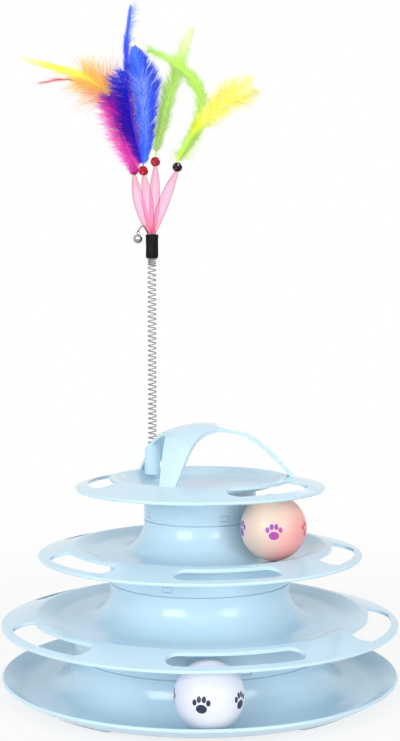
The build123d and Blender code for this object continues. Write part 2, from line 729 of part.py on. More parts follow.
# Beads
bead_places = {
    "bead_magenta": sleeve_top + Vector(*MAGENTA_BEAD),
    "bead_red": sleeve_top + Vector(*RED_BEAD),
    "bead_rose": sleeve_top + Vector(*ROSE_BEAD),
    "bead_plum": sleeve_top + Vector(*PLUM_BEAD),
}
for bead_name, place in bead_places.items():
    with BuildPart() as bead:
        with Locations(place):
            Sphere(BEAD_D / 2)
            Cylinder(BEAD_BORE / 2, BEAD_D, mode=Mode.SUBTRACT)
    save(bead.part, bead_name)

# Ribbons, each from its place in the sleeve to the bore of its bead
ribbons = {
    "ribbon_left": ("bead_magenta", LEFT_RIBBON_SEAT, LEFT_RIBBON_BOW),
    "ribbon_front": ("bead_red", FRONT_RIBBON_SEAT, FRONT_RIBBON_BOW),
    "ribbon_middle": ("bead_rose", MIDDLE_RIBBON_SEAT, MIDDLE_RIBBON_BOW),
    "ribbon_right": ("bead_plum", RIGHT_RIBBON_SEAT, RIGHT_RIBBON_BOW),
}
bore_half = math.sqrt((BEAD_D / 2) ** 2 - (BEAD_BORE / 2) ** 2)
for ribbon_name, (bead_name, seat, bow) in ribbons.items():
    start = sleeve_top + Vector(*seat, -RIBBON_GRIP)
    end = bead_places[bead_name] - Vector(0, 0, bore_half - RIBBON_TUCK)
    ribbon = leaf_plate(start, end, bow, RIBBON_WIDTH, RIBBON_BELLY, RIBBON_END, RIBBON_THICK)
    save(ribbon, ribbon_name)

# Feathers: bead, quill's place in its bore, tip, bow, width, and the share of the length that is widest
feathers = {
    "feather_blue_long": ("bead_red", 1, BLUE_LONG_TIP, BLUE_LONG_BOW, BLUE_LONG_WIDTH, 0.32),
    "feather_blue_broad": ("bead_red", -1, BLUE_BROAD_TIP, BLUE_BROAD_BOW, BLUE_BROAD_WIDTH, 0.52),
    "feather_magenta": ("bead_magenta", -1, MAGENTA_TIP, MAGENTA_BOW, MAGENTA_WIDTH, 0.45),
    "feather_orange": ("bead_magenta", 0, ORANGE_TIP, ORANGE_BOW, ORANGE_WIDTH, 0.5),
    "feather_red": ("bead_magenta", 1, RED_TIP, RED_BOW, RED_WIDTH, 0.5),
    "feather_green": ("bead_rose", 1, GREEN_TIP, GREEN_BOW, GREEN_WIDTH, 0.4),
    "feather_lime": ("bead_plum", 1, LIME_TIP, LIME_BOW, LIME_WIDTH, 0.5),
    "feather_yellow": ("bead_plum", -1, YELLOW_TIP, YELLOW_BOW, YELLOW_WIDTH, 0.65),
}
for feather_name, (bead_name, slot, tip, bow, width, belly) in feathers.items():
    quill_foot = bead_places[bead_name] + Vector(0, slot * QUILL_STEP, SNUG_GAP)
    root = quill_foot + Vector(0, 0, BEAD_D / 2)
    with BuildPart() as feather:
        add(leaf_plate(root, sleeve_top + Vector(*tip), bow, width, belly, QUILL_D, VANE_THICK))
        with Locations(quill_foot):
            Cylinder(QUILL_D / 2, BEAD_D / 2 + QUILL_D / 2, align=UPWARD)
    save(feather.part, feather_name)

# Bell wire: out of the sleeve, over in a loop, and through the bell's eye along Y
bell_pivot = sleeve_top + Vector(-BELL_REACH, 0, BELL_WIRE_D + PELLET_D / 2)
wire_seat_x = -(SPRING_OD / 2 + RUNNING_GAP - BELL_WIRE_D / 2 - FIT_GAP)
wire_route = [
    sleeve_top + Vector(wire_seat_x, 0, -RIBBON_GRIP),
    sleeve_top + Vector(wire_seat_x, 0, BELL_WIRE_D * 2),
    sleeve_top + Vector(-LOOP_TOP_REACH, 0, LOOP_RISE + BELL_WIRE_D),
    sleeve_top + Vector(-LOOP_END_REACH, 0, LOOP_RISE - BELL_WIRE_D),
    bell_pivot - Vector(0, EYE_PIN_FRONT, 0),
    bell_pivot + Vector(0, EYE_PIN_BACK, 0),
]
with BuildPart() as bell_wire:
    with BuildLine() as route:
        FilletPolyline(*wire_route, radius=[LOOP_ROUND, LOOP_ROUND, LOOP_ROUND, EYE_PIN_ROUND])
    with BuildSketch(Plane(route.line @ 0, z_dir=route.line % 0)):
        Circle(BELL_WIRE_D / 2)
    sweep()
save(bell_wire.part, "bell_wire")

# Bell: a slotted hollow ball hanging by its eye on the wire, with a loose pellet inside
bell_eye_inner = BELL_EYE_R - BELL_EYE_WIRE / 2
bell_eye = bell_pivot - Vector(0, 0, bell_eye_inner - BELL_WIRE_D / 2 - SNUG_GAP)
bell_centre = bell_eye - Vector(0, 0, BELL_EYE_R + BELL_D / 2 - SNUG_GAP)
with BuildPart() as bell_shell:
    with Locations(bell_centre):
        Sphere(BELL_D / 2)
        Sphere(BELL_D / 2 - BELL_WALL, mode=Mode.SUBTRACT)
        Box(BELL_D, BELL_SLOT, BELL_D / 2, align=DOWNWARD, mode=Mode.SUBTRACT)
    with Locations(bell_eye):
        Torus(BELL_EYE_R, BELL_EYE_WIRE / 2, rotation=(90, 0, 0))
save(bell_shell.part, "bell_shell")

with BuildPart() as bell_pellet:
    with Locations(bell_centre - Vector(0, 0, BELL_D / 2 - BELL_WALL - PELLET_D / 2 - SNUG_GAP)):
        Sphere(PELLET_D / 2)
save(bell_pellet.part, "bell_pellet")
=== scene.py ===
"""Studio scene of the cat ball track toy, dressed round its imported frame.

Lengths are in metres, apart from the sleeve, paw and feather tables, which are in millimetres.
"""

import json
import math
import random

import bpy
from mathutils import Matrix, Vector, noise


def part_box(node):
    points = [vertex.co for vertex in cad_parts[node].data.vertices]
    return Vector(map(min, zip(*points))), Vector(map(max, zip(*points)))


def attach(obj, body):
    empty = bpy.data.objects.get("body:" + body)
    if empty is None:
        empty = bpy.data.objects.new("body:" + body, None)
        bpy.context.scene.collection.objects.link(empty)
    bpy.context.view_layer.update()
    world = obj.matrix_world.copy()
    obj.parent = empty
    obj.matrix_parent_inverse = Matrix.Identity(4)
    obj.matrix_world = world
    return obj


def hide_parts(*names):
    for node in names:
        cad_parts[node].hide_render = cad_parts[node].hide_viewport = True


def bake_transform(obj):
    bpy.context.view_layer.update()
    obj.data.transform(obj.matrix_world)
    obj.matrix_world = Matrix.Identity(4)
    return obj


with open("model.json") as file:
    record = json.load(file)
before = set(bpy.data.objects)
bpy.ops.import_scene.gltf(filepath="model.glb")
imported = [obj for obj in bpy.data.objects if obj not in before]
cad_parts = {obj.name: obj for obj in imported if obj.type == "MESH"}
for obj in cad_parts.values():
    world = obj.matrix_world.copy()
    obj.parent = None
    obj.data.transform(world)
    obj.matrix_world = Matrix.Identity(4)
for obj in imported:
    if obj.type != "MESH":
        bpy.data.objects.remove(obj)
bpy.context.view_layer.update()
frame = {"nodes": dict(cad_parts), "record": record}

MM = 0.001
random.seed(41)

# Camera, at the photograph's viewing angle
CAMERA_PLACE = Vector((0, -0.830, 0.237))
CAMERA_PITCH = math.radians(2.437)
CAMERA_LENS = 63.93
SENSOR_WIDTH = 36.0

# Spring sizes that the frame's boxes don't give
SPRING_WIRE = 0.8 * MM
SPRING_PITCH = 3.15 * MM
SPRING_OPEN_TURNS = 39
SPRING_END_PITCH = 1.25 * MM
SPRING_END_TURNS = 6
SPRING_STEPS = 24
SPRING_SIDES = 8

# Sleeve: its outer line is a list of shares of the height, with an inset in mm at each
SLEEVE_HEM_RISE = 2.0 * MM
SLEEVE_PLAY = 0.25 * MM
SLEEVE_LIP = 0.2 * MM
SLEEVE_LIP_DEPTH = 0.4 * MM
SLEEVE_SEGMENTS = 64
SLEEVE_OUTLINE = [(0.0, 0.75), (0.03, 0.45), (0.08, 0.12), (0.14, 0.05), (0.3, 0.12), (0.5, 0.16),
                  (0.7, 0.14), (0.84, 0.1), (0.93, 0.02), (0.985, 0.0), (1.0, 0.12)]
RIDGE_DEPTH = 0.05 * MM
RIDGE_COUNT = 9
RIDGE_WAVE = 3
RIDGE_WAVE_RATE = 400

# Ribbons: strips of net that are rolled flat and gathered at both ends
RIBBON_GRIP = 4.0 * MM
RIBBON_WIDTH = 6.6 * MM
RIBBON_DEPTH = 1.6 * MM
RIBBON_END = 1.0 * MM
RIBBON_END_DEPTH = 0.35 * MM
RIBBON_TUCK = 1.0 * MM
RIBBON_BELLY = 0.55
RIBBON_ROWS = 44
RIBBON_COLUMNS = 22
RIBBON_WRAP = 0.97 * math.pi
RIBBON_EDGE_R = 0.16 * MM
RIBBON_EDGE_SIDES = 6
PLEAT_DEPTH = 0.12 * MM
PLEATS_ROUND = 5
PLEAT_TWIST = 9

# Net: threads per metre, the share of a lane that its thread fills, and how much each part veils
NET_LANES = 1400.0
NET_THREAD = 0.34
NET_THREAD_VEIL = 0.5
NET_GAP_VEIL = 0.08
NET_THREAD_DEEPER = 0.3

# Feathers: a shaft each, and barbs that lean and shrink in clumps
QUILL_D = 0.7 * MM
QUILL_TIP_R = 0.06 * MM
QUILL_STEP = 1.0 * MM
QUILL_FOOT_RISE = 0.1 * MM
QUILL_ROWS = 31
QUILL_SIDES = 6
BEAD_D = 6.4 * MM
BARB_STEPS = (0, 0.25, 0.5, 0.75, 1)
BARB_TAPER = 0.6
BARB_DRIFT = 0.12
BARB_TONES = (0.82, 1.14)
BARB_POINT_WHITE = 0.08
CLUMP_RATE = 16
CLUMP_SIDE_STEP = 3.7
CLUMP_SLOT_STEP = 7.3
CLUMP_LEAN = 12

# Textures: clouds and gloss are a noise scale and two factors; grain is a scale, strength and depth
MOTTLE_DETAIL = 3.0
GRAIN_DETAIL = 4.0
GRAIN_DEPTH = 0.05 * MM
MOULDED_CLOUD_SCALE = 22.0
MOULDED_GLOSS = (140.0, 0.8, 1.25)
MOULDED_GRAIN_SCALE = 2600.0
METAL_CLOUDS = (300.0, 0.82, 1.05)
METAL_GLOSS = (900.0, 0.7, 1.4)
METAL_GRAIN = (5000.0, 0.08, 0.03 * MM)
BALL_CLOUDS = (60.0, 0.96, 1.02)
BALL_GRAIN = (2200.0, 0.04, GRAIN_DEPTH)
BARB_CLOUDS = (700.0, 0.88, 1.1)
BARB_GRAIN = (6000.0, 0.2, GRAIN_DEPTH)

# Facets of the beads: painted shade, darker outwards, with a painted highlight (glint) in the
# middle of each
FACET_SCALE = 700.0
PAINTED_FACET_SHADE = (1.6, 0.5)
FACET_BUMP = 0.5
FACET_DEPTH = 0.25 * MM
PAINTED_GLINT_SIZE = 0.2
PAINTED_GLINT_PINK = (0.75, 0.5, 0.55)

# Balls, and their paw prints: the middle, half width and half height of each pad, in mm
BALL_R_MM = 20
# Where a ball's painted glow starts to fade in, along its glowing side
PAINTED_GLOW_FROM = -4 * MM
PAWS_ROUND_BALL = 5
PAW_PADS = [(0, -1.9, 3.1, 2.5), (-3.9, 1.5, 1.25, 1.7), (-1.4, 3.3, 1.25, 1.8),
            (1.4, 3.3, 1.25, 1.8), (3.9, 1.5, 1.25, 1.7)]


def centre_of(node_name):
    """Middle of a node's box."""
    low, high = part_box(node_name)
    return (low + high) / 2


def mix(first, second, share):
    """Value between two numbers or vectors."""
    return first + (second - first) * share


# Meshes


def mesh_object(name, verts, faces):
    """New smooth object from plain vertex and face lists."""
    mesh = bpy.data.meshes.new(name)
    mesh.from_pydata([tuple(v) for v in verts], [], faces)
    mesh.update()
    mesh.polygons.foreach_set("use_smooth", [True] * len(mesh.polygons))
    made = bpy.data.objects.new(name, mesh)
    bpy.context.scene.collection.objects.link(made)
    return made


def add_colours(made, colours):
    """Vertex colours that the feather and ribbon materials read as Tint."""
    layer = made.data.color_attributes.new("Tint", "FLOAT_COLOR", "POINT")
    for item, colour in zip(layer.data, colours):
        item.color = (*colour, 1)


def ring_frames(points):
    """A pair of steady side directions at each point of a line, for sweeping a section along it."""
    tangents = []
    for i in range(len(points)):
        ahead = points[min(i + 1, len(points) - 1)]
        behind = points[max(i - 1, 0)]
        tangents.append((ahead - behind).normalized())
    side = tangents[0].orthogonal().normalized()
    frames = []
    for tangent in tangents:
        side = (side - tangent * side.dot(tangent)).normalized()
        frames.append((side, tangent.cross(side)))
    return frames


def tube(points, radii, sides):
    """Vertices and faces of a closed tube along points."""
    verts, faces = [], []
    for point, radius, (side, up) in zip(points, radii, ring_frames(points)):
        for k in range(sides):
            angle = 2 * math.pi * k / sides
            verts.append(point + (side * math.cos(angle) + up * math.sin(angle)) * radius)
    for i in range(len(points) - 1):
        for k in range(sides):
            a, b = i * sides + k, i * sides + (k + 1) % sides
            faces.append((a, b, b + sides, a + sides))
    faces.append(tuple(reversed(range(sides))))
    last = (len(points) - 1) * sides
    faces.append(tuple(range(last, last + sides)))
    return verts, faces


def lathe(name, centre, profile, segments, wobble):
    """Closed ring of a profile, a loop of radius and height, turned about a vertical line."""
    verts, faces = [], []
    count = len(profile)
    for i in range(segments):
        angle = 2 * math.pi * i / segments
        for radius, height in profile:
            radius += wobble(angle, height)
            spoke = Vector((radius * math.cos(angle), radius * math.sin(angle), height))
            verts.append(centre + spoke)
    for i in range(segments):
        after = (i + 1) % segments
        for j in range(count):
            k = (j + 1) % count
            faces.append((i * count + j, after * count + j, after * count + k, i * count + k))
    return mesh_object(name, verts, faces)


# Shader nodes


def node(tree, kind, inputs=None, **settings):
    """Shader node with its settings, its values and its links."""
    made = tree.nodes.new(kind)
    for key, value in settings.items():
        setattr(made, key, value)
    for key, value in (inputs or {}).items():
        if isinstance(value, bpy.types.NodeSocket):
            tree.links.new(value, made.inputs[key])
        else:
            made.inputs[key].default_value = value
    return made


def maths(tree, operation, first, second=0.0):
    """Output of a math node."""
    return node(tree, "ShaderNodeMath", {0: first, 1: second}, operation=operation).outputs[0]


def vector_maths(tree, operation, first, second=(0, 0, 0)):
    """Outputs of a vector math node, Vector and Value."""
    inputs = {0: first, 1: second}
    return node(tree, "ShaderNodeVectorMath", inputs, operation=operation).outputs


def map_range(tree, value, low, high, start=0.0, end=1.0, curve="LINEAR"):
    """Value mapped from start and end to low and high."""
    inputs = {"Value": value, "From Min": start, "From Max": end, "To Min": low, "To Max": high}
    return node(tree, "ShaderNodeMapRange", inputs, interpolation_type=curve).outputs["Result"]


def colour_mix(tree, blend_type, factor, first, second):
    """Output of a colour mix node."""
    inputs = {0: factor, 6: first, 7: second}
    made = node(tree, "ShaderNodeMix", inputs, data_type="RGBA", blend_type=blend_type)
    return made.outputs[2]


def object_place(tree):
    """Object coordinates, which are the frame's metres."""
    return node(tree, "ShaderNodeTexCoord").outputs["Object"]


def tint_of(tree):
    """Vertex colours of the mesh."""
    return node(tree, "ShaderNodeAttribute", attribute_name="Tint").outputs["Color"]


def cloud(tree, place, scale, detail):
    """Noise from 0 to 1."""
    inputs = {"Vector": place, "Scale": scale, "Detail": detail}
    return node(tree, "ShaderNodeTexNoise", inputs).outputs["Fac"]


def mottle(tree, place, scale, low, high):
    """Noise mapped to a range of values."""
    return map_range(tree, cloud(tree, place, scale, MOTTLE_DETAIL), low, high)


def shade(tree, colour, factor):
    """Colour multiplied by a grey factor."""
    channels = {"Red": factor, "Green": factor, "Blue": factor}
    grey = node(tree, "ShaderNodeCombineColor", channels).outputs["Color"]
    return colour_mix(tree, "MULTIPLY", 1.0, colour, grey)


def background_rays(tree):
    """1 for rays that show the white background, and 0 for those that light the object."""
    path = node(tree, "ShaderNodeLightPath").outputs
    seen = maths(tree, "MAXIMUM", path["Is Camera Ray"], path["Is Glossy Ray"])
    return maths(tree, "MAXIMUM", seen, path["Is Transmission Ray"])


# Materials


def principled(name, colour, roughness, **sockets):
    """Material with even values on the shader's own sockets; returns it, its tree and shader."""
    made = bpy.data.materials.new(name)
    made.use_nodes = True
    shader = made.node_tree.nodes["Principled BSDF"]
    shader.inputs["Base Color"].default_value = (*colour, 1)
    shader.inputs["Roughness"].default_value = roughness
    for key, value in sockets.items():
        shader.inputs[key.replace("_", " ")].default_value = value
    return made, made.node_tree, shader


def paint(tree, shader, colour):
    """Give the shader a colour that varies."""
    tree.links.new(colour, shader.inputs["Base Color"])


def add_bump(tree, shader, height, strength, depth):
    """Bump the shader's surface by a height."""
    bump = node(tree, "ShaderNodeBump", {"Height": height, "Strength": strength, "Distance": depth})
    tree.links.new(bump.outputs["Normal"], shader.inputs["Normal"])


def grain_bump(tree, shader, place, scale, strength, depth):
    """Fine moulded or brushed grain."""
    add_bump(tree, shader, cloud(tree, place, scale, GRAIN_DETAIL), strength, depth)


def uneven(name, colour, roughness, clouds, gloss, grain, **sockets):
    """Material with clouds in its colour, uneven gloss and a fine grain."""
    made, tree, shader = principled(name, colour, roughness, **sockets)
    place = object_place(tree)
    paint(tree, shader, shade(tree, (*colour, 1), mottle(tree, place, *clouds)))
    scale, low, high = gloss
    rough = mottle(tree, place, scale, roughness * low, roughness * high)
    tree.links.new(rough, shader.inputs["Roughness"])
    grain_bump(tree, shader, place, *grain)
    return made


def moulded(name, colour, roughness, spread=0.05, grain=0.05, **sockets):
    """Moulded plastic or rubber; spread is the range of its clouds, and grain is the strength."""
    clouds = (MOULDED_CLOUD_SCALE, 1 - spread, 1 + spread / 2)
    fine_grain = (MOULDED_GRAIN_SCALE, grain, GRAIN_DEPTH)
    return uneven(name, colour, roughness, clouds, MOULDED_GLOSS, fine_grain, **sockets)


def metal(name, colour, roughness):
    """Drawn or plated metal."""
    return uneven(name, colour, roughness, METAL_CLOUDS, METAL_GLOSS, METAL_GRAIN, Metallic=1.0)


def paw_mask(tree, offset, turn):
    """Mask of a ring of paw prints round a ball: pads are ellipses on the unrolled belt."""
    axes = node(tree, "ShaderNodeSeparateXYZ", {0: offset}).outputs
    azimuth = maths(tree, "ARCTAN2", axes["Y"], axes["X"])
    paws = maths(tree, "MULTIPLY", azimuth, PAWS_ROUND_BALL / (2 * math.pi))
    across = maths(tree, "SUBTRACT", maths(tree, "FRACT", maths(tree, "ADD", paws, turn)), 0.5)
    belt = 2 * math.pi * BALL_R_MM / PAWS_ROUND_BALL
    unrolled = {"X": maths(tree, "MULTIPLY", across, belt),
                "Y": maths(tree, "DIVIDE", axes["Z"], MM)}
    spot = node(tree, "ShaderNodeCombineXYZ", unrolled).outputs[0]
    mask = None
    for x, y, half_width, half_height in PAW_PADS:
        shifted = vector_maths(tree, "SUBTRACT", spot, (x, y, 0))[0]
        scaled = vector_maths(tree, "MULTIPLY", shifted, (1 / half_width, 1 / half_height, 0))[0]
        pad = maths(tree, "LESS_THAN", vector_maths(tree, "LENGTH", scaled)["Value"], 1.0)
        mask = pad if mask is None else maths(tree, "MAXIMUM", mask, pad)
    return mask


def ball_material(name, colour, painted_glow, painted_glow_side, inks, turn, centre):
    """Satin ball with a soft painted glow on one side, which also turns its print to the second
    ink, and a printed ring of paws.
    """
    made, tree, shader = principled(name, colour, 0.3, Specular_IOR_Level=0.4)
    place = object_place(tree)
    offset = vector_maths(tree, "SUBTRACT", place, centre)[0]
    facing = vector_maths(tree, "DOT_PRODUCT", offset, painted_glow_side)["Value"]
    # Painted glow: shell and ink blend towards the glow colours on the glowing side
    share = map_range(tree, facing, 0.0, 1.0, PAINTED_GLOW_FROM, BALL_R_MM * MM, "SMOOTHSTEP")
    body = colour_mix(tree, "MIX", share, (*colour, 1), (*painted_glow, 1))
    body = shade(tree, body, mottle(tree, place, *BALL_CLOUDS))
    ink = colour_mix(tree, "MIX", share, (*inks[0], 1), (*inks[1], 1))
    paint(tree, shader, colour_mix(tree, "MIX", paw_mask(tree, offset, turn), body, ink))
    grain_bump(tree, shader, place, *BALL_GRAIN)
    return made


def cut_bead(name, colour):
    """Glassy bead with small bumped facets, with painted shade darker towards each facet's edge and
    a painted glint in the middle.
    """
    made, tree, shader = principled(name, colour, 0.12, Specular_IOR_Level=0.15)
    cells = {"Vector": object_place(tree), "Scale": FACET_SCALE}
    facets = node(tree, "ShaderNodeTexVoronoi", cells).outputs["Distance"]
    # Painted shade and highlight: each facet is painted lighter in the middle and darker outwards,
    # with a pale pink glint
    body = shade(tree, (*colour, 1), map_range(tree, facets, *PAINTED_FACET_SHADE))
    painted_glint = maths(tree, "LESS_THAN", facets, PAINTED_GLINT_SIZE)
    paint(tree, shader, colour_mix(tree, "MIX", painted_glint, body, (*PAINTED_GLINT_PINK, 1)))
    add_bump(tree, shader, facets, FACET_BUMP, FACET_DEPTH)
    return made


def barb_material(name):
    """Feather barbs, coloured along the feather by their Tint."""
    made, tree, shader = principled(name, (0.5, 0.5, 0.5), 0.7, Specular_IOR_Level=0.15)
    place = object_place(tree)
    paint(tree, shader, shade(tree, tint_of(tree), mottle(tree, place, *BARB_CLOUDS)))
    grain_bump(tree, shader, place, *BARB_GRAIN)
    return made


def net_material(name, colour, thread_colour):
    """Open net: diagonal threads on the strip's unrolled width and length, clearer between."""
    made, tree, shader = principled(name, colour, 0.5)
    flat = node(tree, "ShaderNodeTexCoord").outputs["UV"]
    axes = node(tree, "ShaderNodeSeparateXYZ", {0: flat}).outputs
    threads = None
    for way in ("ADD", "SUBTRACT"):
        slant = maths(tree, way, axes["X"], axes["Y"])
        lane = maths(tree, "FRACT", maths(tree, "MULTIPLY", slant, NET_LANES))
        thread = maths(tree, "LESS_THAN", lane, NET_THREAD)
        threads = thread if threads is None else maths(tree, "MAXIMUM", threads, thread)
    veil = maths(tree, "ADD", maths(tree, "MULTIPLY", threads, NET_THREAD_VEIL), NET_GAP_VEIL)
    tree.links.new(veil, shader.inputs["Alpha"])
    tone = colour_mix(tree, "MULTIPLY", 1.0, (*colour, 1), tint_of(tree))
    deeper = maths(tree, "MULTIPLY", threads, NET_THREAD_DEEPER)
    paint(tree, shader, colour_mix(tree, "MIX", deeper, tone, (*thread_colour, 1)))
    return made


TRAY_BLUE = (0.55, 0.74, 0.855)
PINK = (0.90, 0.20, 0.47)
DEEP_PINK = (0.50, 0.04, 0.22)
FOLD_PINK = (0.16, 0.012, 0.065)
NEAR_BLACK = (0.002, 0.002, 0.0025)
NAVY = (0.02, 0.025, 0.06)

slot_materials = {
    "tray_blue": moulded("tray_blue", TRAY_BLUE, 0.17, 0.03, 0.02, Specular_IOR_Level=0.42),
    "foot_rubber": moulded("foot_rubber", (0.55, 0.66, 0.74), 0.75, spread=0.12, grain=0.3),
    "holder_white": moulded("holder_white", (0.80, 0.80, 0.78), 0.5),
    "cell_steel": metal("cell_steel", (0.70, 0.70, 0.70), 0.28),
    "board_green": moulded("board_green", (0.03, 0.25, 0.10), 0.4, spread=0.2),
    "lamp_red": moulded("lamp_red", (0.80, 0.10, 0.14), 0.12, Transmission_Weight=0.6),
    "switch_steel": metal("switch_steel", (0.72, 0.62, 0.40), 0.3),
    "plug_blue": moulded("plug_blue", TRAY_BLUE, 0.4),
    "spring_steel": metal("spring_steel", (0.34, 0.35, 0.37), 0.3),
    "sleeve_black": moulded("sleeve_black", NEAR_BLACK, 0.55, 0.3, 0.25, Specular_IOR_Level=0.12),
    "bead_magenta": cut_bead("bead_magenta", (0.45, 0.01, 0.16)),
    "bead_red": cut_bead("bead_red", (0.30, 0.003, 0.012)),
    "bead_rose": cut_bead("bead_rose", (0.28, 0.008, 0.025)),
    "bead_plum": cut_bead("bead_plum", (0.010, 0.001, 0.006)),
    "wire_red": moulded("wire_red", (0.16, 0.01, 0.03), 0.35, spread=0.2),
    "bell_metal": metal("bell_metal", (0.40, 0.39, 0.40), 0.24),
    "pellet_steel": metal("pellet_steel", (0.50, 0.50, 0.50), 0.35),
}
barbs = barb_material("feather_barbs")
net = net_material("ribbon_net", PINK, DEEP_PINK)
net_edge = moulded("ribbon_edge", FOLD_PINK, 0.5, spread=0.2)

# Balls: shell, painted glow, side of the painted glow, inks on either side of the painted glow's
# edge, and turn of the paw prints
white_look = [(0.70, 0.73, 0.84), (0.80, 0.83, 0.86), (0.7, 0, -0.7), (NAVY, NAVY)]
cream_look = [(0.80, 0.62, 0.51), (0.84, 0.34, 0.33), (0.85, -0.2, -0.45),
              ((0.25, 0.08, 0.45), (0.80, 0.03, 0.08))]
balls = {"lower_ball": (*white_look, 0.93), "middle_ball": (*white_look, 0.3),
         "upper_ball": (*cream_look, 0.78)}
ball_materials = {}
for ball_name, look in balls.items():
    halves = [f"{ball_name}_top_shell", f"{ball_name}_bottom_shell"]
    ball_middle = (centre_of(halves[0]) + centre_of(halves[1])) / 2
    for half in halves:
        ball_materials[half] = ball_material(half, *look, ball_middle)

node_slots = {item["node"]: item["material_slot"] for item in frame["record"]["subparts"]}
for name, cad in frame["nodes"].items():
    chosen = ball_materials.get(name) or slot_materials.get(node_slots[name]) or barbs
    cad.data.materials.clear()
    cad.data.materials.append(chosen)


def dress(made, body, chosen, replaced=()):
    """Give a piece its material and its body, and hide the nodes that it stands in for."""
    made.data.materials.append(chosen)
    if replaced:
        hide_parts(*replaced)
    if body:
        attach(made, body)


# Spring: the same winding as its solid, a straight coil with its close turns at the top

spring_low, spring_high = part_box("teaser_spring")
spring_middle = (spring_low + spring_high) / 2
spring_r = (spring_high.x - spring_low.x - SPRING_WIRE) / 2
sleeve_low, sleeve_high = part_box("teaser_sleeve")


def spring_height(turn):
    """Height of the wire above its lower end after a number of turns."""
    open_turns, close_turns = min(turn, SPRING_OPEN_TURNS), max(turn - SPRING_OPEN_TURNS, 0)
    return open_turns * SPRING_PITCH + close_turns * SPRING_END_PITCH


spring_turns = SPRING_OPEN_TURNS + SPRING_END_TURNS
spring_base = spring_high.z - SPRING_WIRE / 2 - spring_height(spring_turns)
wire_line = []
for step in range(spring_turns * SPRING_STEPS + 1):
    angle = 2 * math.pi * step / SPRING_STEPS
    wire_line.append(Vector((spring_middle.x + spring_r * math.cos(angle),
                             spring_middle.y + spring_r * math.sin(angle),
                             spring_base + spring_height(step / SPRING_STEPS))))
spring = mesh_object("spring_wire",
                     *tube(wire_line, [SPRING_WIRE / 2] * len(wire_line), SPRING_SIDES))
dress(spring, None, slot_materials["spring_steel"], ["teaser_spring"])
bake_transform(spring)

# Sleeve: shrunk tube with faint ridges, and a hem that leaves some of the spring's close turns bare

sleeve_axis = Vector((spring_middle.x, spring_middle.y, 0))
sleeve_r = (sleeve_high.x - sleeve_low.x) / 2
sleeve_bore_r = spring_r + SPRING_WIRE / 2 + SLEEVE_PLAY
sleeve_hem = sleeve_low.z + SLEEVE_HEM_RISE
sleeve_profile = []
for share, inset in SLEEVE_OUTLINE:
    sleeve_profile.append((sleeve_r - inset * MM, mix(sleeve_hem, sleeve_high.z, share)))
sleeve_profile.append((sleeve_bore_r + SLEEVE_LIP, sleeve_high.z))
sleeve_profile.append((sleeve_bore_r, sleeve_high.z - SLEEVE_LIP_DEPTH))
sleeve_profile.append((sleeve_bore_r, sleeve_hem))


def sleeve_ridges(angle, height):
    """Faint wavy ridges left by the shrinking, along the sleeve."""
    wave = RIDGE_WAVE * math.sin(height * RIDGE_WAVE_RATE)
    return -RIDGE_DEPTH * (1 + math.sin(RIDGE_COUNT * angle + wave))


sleeve = lathe("sleeve_tube", sleeve_axis, sleeve_profile, SLEEVE_SEGMENTS, sleeve_ridges)
dress(sleeve, "teaser_head", slot_materials["sleeve_black"], ["teaser_sleeve"])

# Ribbons and feathers: leaves along a bowed spine, as their solids are

sleeve_top = Vector((spring_middle.x, spring_middle.y, sleeve_high.z))
bead_names = ("bead_magenta", "bead_red", "bead_rose", "bead_plum")
bead_middles = {name: centre_of(name) for name in bead_names}
bead_bore_half = (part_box("bead_red")[1].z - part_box("bead_red")[0].z) / 2


def hump(share, peak):
    """Rise from 0 to 1 at the peak and back to 0."""
    return (share / peak) ** (2 * peak) * ((1 - share) / (1 - peak)) ** (2 * (1 - peak))


def ramp(stops, share):
    """Number or colour between stops, each a share and its value."""
    for (low, first), (high, second) in zip(stops, stops[1:]):
        if share <= high:
            return mix(first, second, max(0, share - low) / (high - low))
    return stops[-1][1]


class Spine:
    """Bowed line in a plane that faces the front, from a start to an end."""

    def __init__(self, start, end, bow, lean=0.5):
        self.start, self.chord, self.bow, self.lean = start, end - start, bow, lean
        self.across = Vector((0, 1, 0)).cross(self.chord).normalized()
        self.facing = self.across.cross(self.chord).normalized()

    def point(self, share):
        """Point of the line."""
        return self.start + self.chord * share + self.across * self.bow * hump(share, self.lean)

    def ahead(self, share):
        """Direction of the line towards its end."""
        return (self.point(min(1, share + 0.01)) - self.point(max(0, share - 0.01))).normalized()

    def sideways(self, share):
        """Direction square to the line in its plane, to the right of a line that goes up."""
        return self.ahead(share).cross(self.facing).normalized()


def ribbon_half(share):
    """Half the width of a ribbon, which is drawn in at both ends."""
    return RIBBON_END / 2 + (RIBBON_WIDTH - RIBBON_END) / 2 * hump(share, RIBBON_BELLY)


def net_strip(name, spine):
    """Strip of net rolled into a flat open tube, with its unrolled place as UV."""
    verts, faces, flat, colours = [], [], [], []
    for i in range(RIBBON_ROWS + 1):
        share = i / RIBBON_ROWS
        half = ribbon_half(share)
        fullness = half / (RIBBON_WIDTH / 2)
        depth = mix(RIBBON_END_DEPTH, RIBBON_DEPTH / 2, fullness)
        middle, side = spine.point(share), spine.sideways(share)
        for j in range(RIBBON_COLUMNS + 1):
            angle = mix(-RIBBON_WRAP, RIBBON_WRAP, j / RIBBON_COLUMNS)
            fold = math.sin(PLEATS_ROUND * angle + PLEAT_TWIST * share)
            pleat = PLEAT_DEPTH * fold * (1 - fullness)
            outward = spine.facing * (depth * math.cos(angle) + pleat)
            verts.append(middle + side * half * math.sin(angle) + outward)
            flat.append((angle / math.pi * RIBBON_WIDTH, share * spine.chord.length))
            colours.append((1.0, fullness, fullness))
    wide = RIBBON_COLUMNS + 1
    for i in range(RIBBON_ROWS):
        for j in range(RIBBON_COLUMNS):
            a = i * wide + j
            faces.append((a, a + 1, a + 1 + wide, a + wide))
    made = mesh_object(name, verts, faces)
    layer = made.data.uv_layers.new(name="Flat")
    for loop in made.data.loops:
        layer.data[loop.index].uv = flat[loop.vertex_index]
    add_colours(made, colours)
    return made


